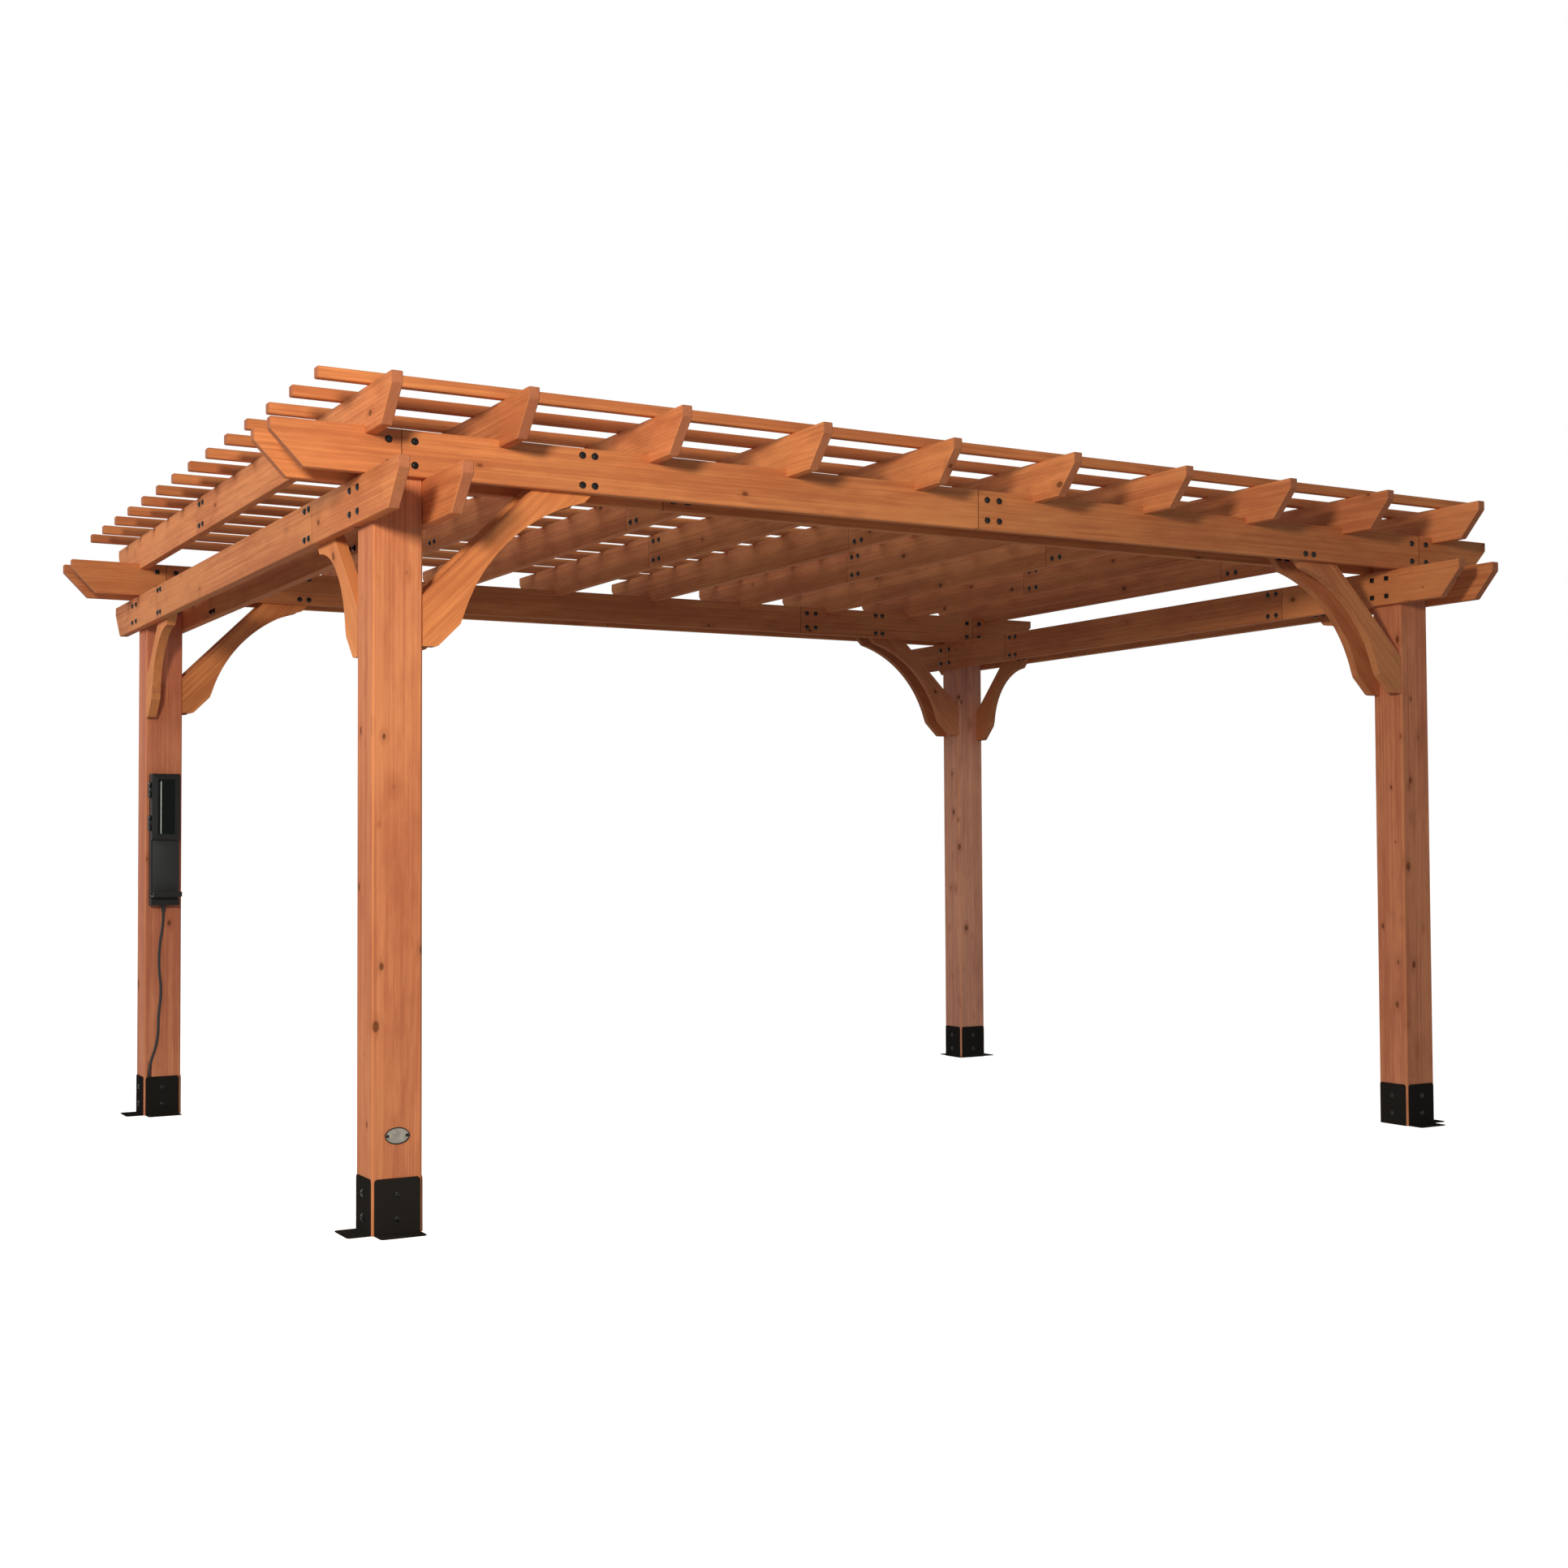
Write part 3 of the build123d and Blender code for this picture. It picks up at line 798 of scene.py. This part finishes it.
def beam_fasteners(settings):
    """Places of the bolt heads and of the nuts on all beams."""
    fasteners = ([], [])
    brace_low, brace_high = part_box("side_brace_front_left")
    brace_thickness = brace_high.x - brace_low.x
    for (end, side), axis, beam, outward in corner_beams():
        along = DEEP if axis == LONG else LONG
        outer_face, outer_gap, level = board_faces(f"{beam}_outer", axis, outward)
        inner_gap, inner_face, level = board_faces(f"{beam}_inner", axis, outward)
        post_low, post_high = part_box(f"post_{end}_{side}")
        post_middle = (post_low[along] + post_high[along]) / 2
        inward = -1 if post_middle > 0 else 1

        # Both boards to the post
        runs = pair(post_middle, settings.post_run)
        heights = pair(level, settings.post_rise)
        bolt_through(fasteners, axis, (outer_face, inner_face), runs, heights, outward)

        # Outer board to its brace; at the front right, the lower bolts alone show
        brace = f"side_brace_{end}_{side}" if axis == LONG else f"cross_braces_{end}_{side}"
        low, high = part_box(brace)
        tip = high[along] if inward > 0 else low[along]
        steps = settings.side_brace_steps if axis == LONG else settings.cross_brace_steps
        runs = [tip - inward * step for step in steps]
        heights = pair(level, settings.brace_rise)
        lower_alone = (end, side, axis) == ("front", "right", DEEP)
        shown = heights[:1] if lower_alone else heights
        faces = (outer_face, outer_gap - outward * brace_thickness)
        bolt_through(fasteners, axis, faces, runs, shown, outward)

        # Inner board to its brace, or the lengths of an inner side beam to each other
        if axis == DEEP:
            faces = (inner_face, inner_gap + outward * brace_thickness)
            bolt_through(fasteners, axis, faces, runs, heights, -outward)
        else:
            between = post_high[along] if inward > 0 else -post_low[along]
            for seam in seams(f"{beam}_inner", along, abs(between)):
                if seam * inward < 0:
                    runs = [seam + inward * step for step in settings.splice_steps]
                    faces = (inner_face, inner_gap)
                    bolt_through(fasteners, axis, faces, runs, heights, -outward)

    # The lengths of the cross beams to each other
    post_low, post_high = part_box("post_front_right")
    for end, outward in (("front", -1), ("back", 1)):
        for row, facing in (("outer", outward), ("inner", -outward)):
            node = f"cross_beam_{end}_{row}"
            *faces, level = board_faces(node, DEEP, facing)
            heights = pair(level, settings.post_rise)
            for seam in seams(node, LONG, post_low.x):
                runs = [seam + step for step in settings.splice_steps]
                bolt_through(fasteners, DEEP, faces, runs, heights, facing)
    return fasteners


def rafter_fasteners(settings):
    """Places of the bolt heads and nuts beside the seams of the rafters."""
    fasteners = ([], [])
    for node in RAFTERS:
        low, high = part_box(node)
        heights = pair((low.z + high.z) / 2, settings.rafter_rise)
        for seam in seams(node, DEEP, clear_depth()):
            runs = [seam - step for step in settings.rafter_steps]
            bolt_through(fasteners, LONG, (low.x, high.x), runs, heights, -1)
    return fasteners


def plate_fasteners(settings):
    """Places of two bolts on the middle line of each foot plate."""
    heads = []
    for end, side in CORNERS:
        low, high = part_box(f"post_{end}_{side}")
        middle = (low + high) / 2
        thickness = plate_thickness(end, side)
        for axis, along in ((LONG, DEEP), (DEEP, LONG)):
            for face, outward in ((low[axis] - thickness, -1), (high[axis] + thickness, 1)):
                heads += bolt_grid(axis, face, [middle[along]], settings.plate_heights, outward)
    return heads


def plate_thickness(end, side):
    """How far the plates stand off a post: their least step out from its left face."""
    low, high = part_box(f"post_{end}_{side}")
    plates = frame["nodes"][f"base_{end}_{side}"].data
    steps = [low.x - vertex.co.x for vertex in plates.vertices]
    return min(step for step in steps if step > SEAM_WIDTH / 2)


def seen_rays(nodes):
    """One for rays that show the background: from the camera, by a mirror or through glass."""
    paths = nodes.add("ShaderNodeLightPath").outputs
    mirrored = nodes.math("MAXIMUM", paths["Is Camera Ray"], paths["Is Glossy Ray"])
    return nodes.math("MAXIMUM", mirrored, paths["Is Transmission Ray"])


class PERGOLA_OT_stage(bpy.types.Operator):
    """Make the camera, the lamps, the white surroundings and the floor"""

    bl_idname = "pergola.stage"
    bl_label = "Stage"

    def execute(self, context):
        settings = context.scene.pergola_stage
        self.camera(context, settings)
        self.lamp(settings, "key", Vector(settings.key_aim))
        self.lamp(settings, "fill", (cad_box[0] + cad_box[1]) / 2)
        self.world(context, settings)
        self.floor(settings)
        context.scene.view_settings.view_transform = "Standard"
        return {"FINISHED"}

    def camera(self, context, settings):
        data = bpy.data.cameras.new("camera")
        data.sensor_width = SENSOR_WIDTH
        data.lens = settings.camera_lens
        data.shift_x = settings.camera_shift
        data.clip_end = settings.floor_size * 2
        camera = bpy.data.objects.new("camera", data)
        aim = Euler((math.pi / 2 + settings.camera_pitch, 0.0, -settings.camera_yaw)).to_matrix()
        roll = Matrix.Rotation(settings.camera_roll, 3, "Z")
        camera.matrix_world = Matrix.Translation(settings.camera_place) @ (aim @ roll).to_4x4()
        context.scene.collection.objects.link(camera)
        context.scene.camera = camera

    def lamp(self, settings, name, aim):
        """A round soft lamp that points at its aim."""
        place = Vector(getattr(settings, f"{name}_place"))
        data = bpy.data.lights.new(f"{name}_lamp", "AREA")
        data.shape = "DISK"
        data.size = getattr(settings, f"{name}_size")
        data.energy = getattr(settings, f"{name}_power")
        data.color = getattr(settings, f"{name}_color")
        lamp = bpy.data.objects.new(f"{name}_lamp", data)
        turn = (aim - place).to_track_quat("-Z", "Y").to_matrix().to_4x4()
        lamp.matrix_world = Matrix.Translation(place) @ turn
        bpy.context.scene.collection.objects.link(lamp)

    def world(self, context, settings):
        """Even light from all sides, behind a white background."""
        world = bpy.data.worlds.new("white_surroundings")
        world.use_nodes = True
        context.scene.world = world
        nodes = Nodes(world.node_tree)
        even = world.node_tree.nodes["Background"]
        even.inputs["Color"].default_value = (*settings.ambient_color, 1.0)
        even.inputs["Strength"].default_value = settings.ambient
        white = nodes.add("ShaderNodeBackground", {"Color": WHITE, "Strength": 1.0})
        either = {0: seen_rays(nodes), 1: even.outputs[0], 2: white.outputs[0]}
        mixed = nodes.add("ShaderNodeMixShader", either)
        nodes.feed(world.node_tree.nodes["World Output"].inputs["Surface"], mixed.outputs[0])

    def floor(self, settings):
        """A floor that shows white but for the shadow, and throws a little light up."""
        start_modelling()
        bpy.ops.mesh.primitive_plane_add(size=settings.floor_size)
        floor = bpy.context.object
        floor.name = "floor"
        material = bpy.data.materials.new("pale_floor")
        material.use_nodes = True
        nodes = Nodes(material.node_tree)
        nodes.tree.nodes.remove(nodes.tree.nodes["Principled BSDF"])
        # The colour balances the cool even light, so that the shade on the floor is grey
        pale = [settings.floor_tone / part for part in settings.ambient_color]
        lit = nodes.add("ShaderNodeBsdfDiffuse", {"Color": (*pale, 1.0)})
        glow = nodes.add("ShaderNodeEmission", {"Color": WHITE, "Strength": settings.floor_glow})
        shown = nodes.add("ShaderNodeAddShader", {0: lit.outputs[0], 1: glow.outputs[0]})
        grey = [settings.floor_bounce] * 3
        unseen = nodes.add("ShaderNodeBsdfDiffuse", {"Color": (*grey, 1.0)})
        either = {0: seen_rays(nodes), 1: unseen.outputs[0], 2: shown.outputs[0]}
        mixed = nodes.add("ShaderNodeMixShader", either)
        nodes.feed(nodes.tree.nodes["Material Output"].inputs["Surface"], mixed.outputs[0])
        floor.data.materials.append(material)


class PERGOLA_OT_power_cord(bpy.types.Operator):
    """Lay the cord from the power box down the back left post to the channel behind its plate"""

    bl_idname = "pergola.power_cord"
    bl_label = "Power cord"

    def execute(self, context):
        settings = context.scene.pergola_cord
        curve = bpy.data.curves.new("power_cord_jacket", "CURVE")
        curve.dimensions = "3D"
        curve.bevel_depth = settings.diameter / 2
        curve.bevel_resolution = 4
        curve.resolution_u = 10
        curve.use_fill_caps = True
        spline = curve.splines.new("NURBS")
        spline.points.add(len(CORD_ROUTE) - 1)
        for point, place in zip(spline.points, CORD_ROUTE):
            point.co = (*place, 1.0)
        spline.order_u = 3
        spline.use_endpoint_u = True
        cord = bpy.data.objects.new("power_cord_jacket", curve)
        context.scene.collection.objects.link(cord)
        curve.materials.append(coat("cord_rubber"))
        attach(cord, "frame")
        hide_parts("power_cord")
        dress("cord_gland", coat("cord_rubber"))
        return {"FINISHED"}


class PERGOLA_OT_timber(bpy.types.Operator):
    """Stain the posts, beams, rafters, slats and braces, each with its own grain; painted shade
    darkens the seams and the braces on the right, and a painted highlight lightens the chamfered
    edges
    """

    bl_idname = "pergola.timber"
    bl_label = "Stained timber"

    def execute(self, context):
        settings = context.scene.pergola_timber
        boards = self.posts_and_braces(settings) | self.beams(settings)
        for node in RAFTERS:
            cuts = seams(node, DEEP, clear_depth())
            boards[node] = ((0.0, 1.0, 0.0), DEEP, cuts, settings.rafter_stain)
        boards["roof_slats"] = ((1.0, 0.0, 0.0), DEEP, self.slat_gaps(), settings.beam_stain)
        posts = [f"post_{end}_{side}" for end, side in CORNERS]
        knots = dict(zip(posts, settings.post_knots))
        for seed, (node, (grain, cut_axis, cuts, stain)) in enumerate(boards.items()):
            share = knots.get(node, settings.knot_share)
            dress(node, cedar(f"cedar_{node}", seed, grain, cut_axis, cuts, stain, share))
        return {"FINISHED"}

    def posts_and_braces(self, settings):
        """Grain, cut axis, cuts and stain of the posts and of the braces beside them."""
        boards = {}
        for end, side in CORNERS:
            post_stain = getattr(settings, f"{end}_{side}_stain")
            # On the right, the braces' stain is painted darker as shade
            brace_shading_and_stain = getattr(settings, f"{side}_brace_shading_and_stain")
            toward_x = 1.0 if side == "left" else -1.0
            toward_y = 1.0 if end == "front" else -1.0
            low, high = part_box(f"cross_braces_{end}_{side}")
            apart = [(low.y + high.y) / 2]
            boards |= {
                f"post_{end}_{side}": ((0.0, 0.0, 1.0), UP, [], post_stain),
                f"side_brace_{end}_{side}": ((0.0, toward_y, 1.0), UP, [], brace_shading_and_stain),
                f"cross_braces_{end}_{side}": ((toward_x, 0.0, 1.0), DEEP, apart, brace_shading_and_stain),
            }
        return boards

    def beams(self, settings):
        """Grain, cut axis, cuts and stain of the beams; their seams lie between the posts."""
        boards = {}
        low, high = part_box("post_back_right")
        for row in ("outer", "inner"):
            for side in SIDES:
                node = f"side_beam_{side}_{row}"
                cuts = seams(node, DEEP, low.y)
                boards[node] = ((0.0, 1.0, 0.0), DEEP, cuts, settings.beam_stain)
            for end in ENDS:
                node = f"cross_beam_{end}_{row}"
                cuts = seams(node, LONG, high.x)
                boards[node] = ((1.0, 0.0, 0.0), LONG, cuts, settings.beam_stain)
        return boards

    def slat_gaps(self):
        """A place in each gap between two slats: the middle between their front edges."""
        edges = seams("roof_slats", DEEP, cad_box[1].y)
        steps = zip(edges, edges[1:])
        fronts = [edges[0]] + [second for first, second in steps if second - first > SLAT_GAP]
        return [(first + second) / 2 for first, second in zip(fronts, fronts[1:])]


class PERGOLA_OT_foot_plates(bpy.types.Operator):
    """Coat the foot plates black and bolt them to the posts"""

    bl_idname = "pergola.foot_plates"
    bl_label = "Foot plates"

    def execute(self, context):
        for end, side in CORNERS:
            dress(f"base_{end}_{side}", coat("black_plate_steel"))
        fasten("plate", plate_fasteners(context.scene.pergola_fasteners), [])
        return {"FINISHED"}


class PERGOLA_OT_beam_bolts(bpy.types.Operator):
    """Bolt the beams to the posts, the braces and each other"""

    bl_idname = "pergola.beam_bolts"
    bl_label = "Beam bolts"

    def execute(self, context):
        fasten("beam", *beam_fasteners(context.scene.pergola_fasteners))
        return {"FINISHED"}


class PERGOLA_OT_rafter_bolts(bpy.types.Operator):
    """Bolt the two lengths of each rafter"""

    bl_idname = "pergola.rafter_bolts"
    bl_label = "Rafter bolts"

    def execute(self, context):
        fasten("rafter", *rafter_fasteners(context.scene.pergola_fasteners))
        return {"FINISHED"}


class PERGOLA_OT_oval_plate(bpy.types.Operator):
    """Screw the bare oval plate to the front left post"""

    bl_idname = "pergola.oval_plate"
    bl_label = "Oval plate"

    def execute(self, context):
        settings = context.scene.pergola_plate
        low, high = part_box("post_front_left")
        middle = Vector(((low.x + high.x) / 2, low.y, settings.level))
        rim = settings.height * 0.06
        sink = settings.thickness * 0.35
        plate = disc(sides=48, radius=0.5, depth=settings.thickness)
        plate.scale = (settings.width, settings.height, 1.0)
        settle_place()
        select(plate, "FACE", looks_up)
        bpy.ops.mesh.inset(thickness=rim)
        bpy.ops.mesh.extrude_region_move(TRANSFORM_OT_translate={"value": (0.0, 0.0, -sink)})
        bpy.ops.object.mode_set(mode="OBJECT")
        plate.data.materials.append(coat("black_bolt_steel"))
        plate.data.materials.append(brushed_zinc())
        for face in plate.data.polygons:
            sunk_face = looks_up(face) and len(face.vertices) > 4
            face.material_index = 1 if sunk_face else 0
        bpy.ops.object.mode_set(mode="EDIT")
        finish_modelling(plate, smooth_angle=30)
        turn = Matrix.Rotation(math.pi / 2, 4, "X")
        plate.matrix_world = Matrix.Translation(middle) @ turn
        settle_place()
        plate.name = "oval_plate"
        plate.data.name = "oval_plate"
        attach(plate, "frame")

        facing = Vector((0.0, -1.0, 0.0))
        front = middle + facing * (settings.thickness - sink)
        aside = Vector((settings.screw_spread / 2, 0.0, 0.0))
        screw = dome_bolt(radius=settings.height * 0.1, height=settings.thickness)
        screws = copies_of(screw, [(front - aside, facing), (front + aside, facing)])
        settle(screws, "oval_plate_screws", coat("black_bolt_steel"), "frame")
        return {"FINISHED"}


class PERGOLA_OT_power_box(bpy.types.Operator):
    """Finish the power box: painted reflection beside the pane, slate panel below the cover, hinge
    beads
    """

    bl_idname = "pergola.power_box"
    bl_label = "Power box"

    def execute(self, context):
        settings = context.scene.pergola_box
        for node in ("power_box_housing", "power_box_cover", "outlet_panel"):
            dress(node, coat("moulded_black_plastic"))
        dress("power_box_pane", coat("smoked_pane"))
        self.reflection(settings)
        self.panel(settings)
        self.beads(settings)
        return {"FINISHED"}

    def reflection(self, settings):
        """Painted reflection: a bright strip along the left of the pane that stands in for a
        reflection on its edge.
        """
        low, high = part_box("power_box_pane")
        left = low.x + settings.reflection_step
        near = Vector((left, low.y - settings.trim_rise, low.z + settings.reflection_width / 2))
        far = Vector((left + settings.reflection_width, low.y, high.z - settings.reflection_step))
        strip = self.slab(near, far, bevel=settings.trim_rise / 3)
        settle(strip, "pane_seal", coat("bright_seal"), "cover")

    def panel(self, settings):
        """Slate face on the closed part of the housing, between the shelf and the cover."""
        housing = frame["nodes"]["power_box_housing"].data
        places = [vertex.co for vertex in housing.vertices]
        shelf_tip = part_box("power_box_housing")[0].y + SEAM_WIDTH
        lip_top = max(place.z for place in places if place.y < shelf_tip)
        cover_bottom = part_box("power_box_cover")[0].z
        fronts = [face for face in housing.polygons if face.normal.y < -FACING]
        closed = [face for face in fronts if lip_top < face.center.z < cover_bottom]
        face = max(closed, key=lambda face: face.area)
        shown = [places[index] for index in face.vertices]
        left, right = (end(place.x for place in shown) for end in (min, max))
        bottom = min(place.z for place in shown)
        margin = settings.panel_margin
        front = face.center.y
        near = Vector((left + margin, front - settings.trim_rise, bottom + margin))
        far = Vector((right - margin, front, cover_bottom - margin))
        panel = self.slab(near, far, bevel=settings.trim_rise / 3)
        settle(panel, "slate_panel", coat("slate_panel_plastic"), "frame")

    def beads(self, settings):
        """Rounded beads over the knuckles of both hinges; the middle ones turn with the cover."""
        joint = next(joint for joint in frame["joints"] if joint["child"] == "cover")
        axis = Vector(joint["pos_m"])
        low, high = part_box("power_box_cover")
        barrel = axis.x - low.x + SEAM_WIDTH / 4
        cover = frame["nodes"]["power_box_cover"].data
        near = [vertex.co.z for vertex in cover.vertices if (vertex.co - axis).xy.length < barrel]
        middle = (low.z + high.z) / 2
        turning, fixed = [], []
        for hinge in ([z for z in near if z < middle], [z for z in near if z > middle]):
            length = max(hinge) - min(hinge)
            level = (max(hinge) + min(hinge)) / 2
            turning.append(level)
            fixed += [level - length - settings.trim_rise, level + length + settings.trim_rise]
        upright = Vector((0.0, 0.0, 1.0))
        rows = (("cover_beads", "cover", turning), ("hinge_beads", "frame", fixed))
        for name, body, levels in rows:
            places = [(Vector((axis.x, axis.y, level)), upright) for level in levels]
            beads = copies_of(self.bead(settings.bead_radius, length), places)
            settle(beads, name, coat("black_hinge_steel"), body)

    def bead(self, radius, length):
        """A short barrel with rounded ends, about the origin."""
        bead = disc(sides=16, radius=radius, depth=length)
        bead.location.z = 0.0
        select(bead, "FACE", lambda face: abs(face.normal.z) > FACING)
        bpy.ops.mesh.bevel(offset=radius * 0.55, segments=4, affect="EDGES")
        finish_modelling(bead, smooth_angle=50)
        return bead

    def slab(self, low, high, bevel):
        """A flat block with rounded edges between two corners."""
        start_modelling()
        bpy.ops.mesh.primitive_cube_add(size=1.0, location=(low + high) / 2)
        slab = bpy.context.object
        slab.scale = high - low
        settle_place()
        bpy.ops.object.mode_set(mode="EDIT")
        bpy.ops.mesh.select_all(action="SELECT")
        bpy.ops.mesh.bevel(offset=bevel, segments=2, affect="EDGES")
        finish_modelling(slab, smooth_angle=40)
        return slab


OPERATORS = (
    PERGOLA_OT_stage,
    PERGOLA_OT_power_cord,
    PERGOLA_OT_timber,
    PERGOLA_OT_foot_plates,
    PERGOLA_OT_beam_bolts,
    PERGOLA_OT_rafter_bolts,
    PERGOLA_OT_oval_plate,
    PERGOLA_OT_power_box,
)

SETTINGS = {
    "pergola_stage": PergolaStageSettings,
    "pergola_timber": PergolaTimberSettings,
    "pergola_coats": PergolaCoatSettings,
    "pergola_fasteners": PergolaFastenerSettings,
    "pergola_plate": PergolaPlateSettings,
    "pergola_box": PergolaBoxSettings,
    "pergola_cord": PergolaCordSettings,
}


class PERGOLA_PT_sidebar(bpy.types.Panel):
    """Lists the settings of the pergola and the steps that finish it"""

    bl_idname = "PERGOLA_PT_sidebar"
    bl_label = "Pergola"
    bl_space_type = "VIEW_3D"
    bl_region_type = "UI"
    bl_category = "Pergola"

    def draw(self, context):
        for label, group in SETTINGS.items():
            box = self.layout.box()
            for name in group.__annotations__:
                box.prop(getattr(context.scene, label), name)
        for step in OPERATORS:
            self.layout.operator(step.bl_idname)


def register():
    for label, group in SETTINGS.items():
        bpy.utils.register_class(group)
        setattr(bpy.types.Scene, label, PointerProperty(type=group))
    for operator in OPERATORS:
        bpy.utils.register_class(operator)
    bpy.utils.register_class(PERGOLA_PT_sidebar)


def unregister():
    bpy.utils.unregister_class(PERGOLA_PT_sidebar)
    for operator in reversed(OPERATORS):
        bpy.utils.unregister_class(operator)
    for label, group in SETTINGS.items():
        delattr(bpy.types.Scene, label)
        bpy.utils.unregister_class(group)


def main():
    register()
    bpy.ops.pergola.stage()
    bpy.ops.pergola.power_cord()
    bpy.ops.pergola.timber()
    bpy.ops.pergola.foot_plates()
    bpy.ops.pergola.beam_bolts()
    bpy.ops.pergola.rafter_bolts()
    bpy.ops.pergola.oval_plate()
    bpy.ops.pergola.power_box()


if __name__ == "__main__":
    main()
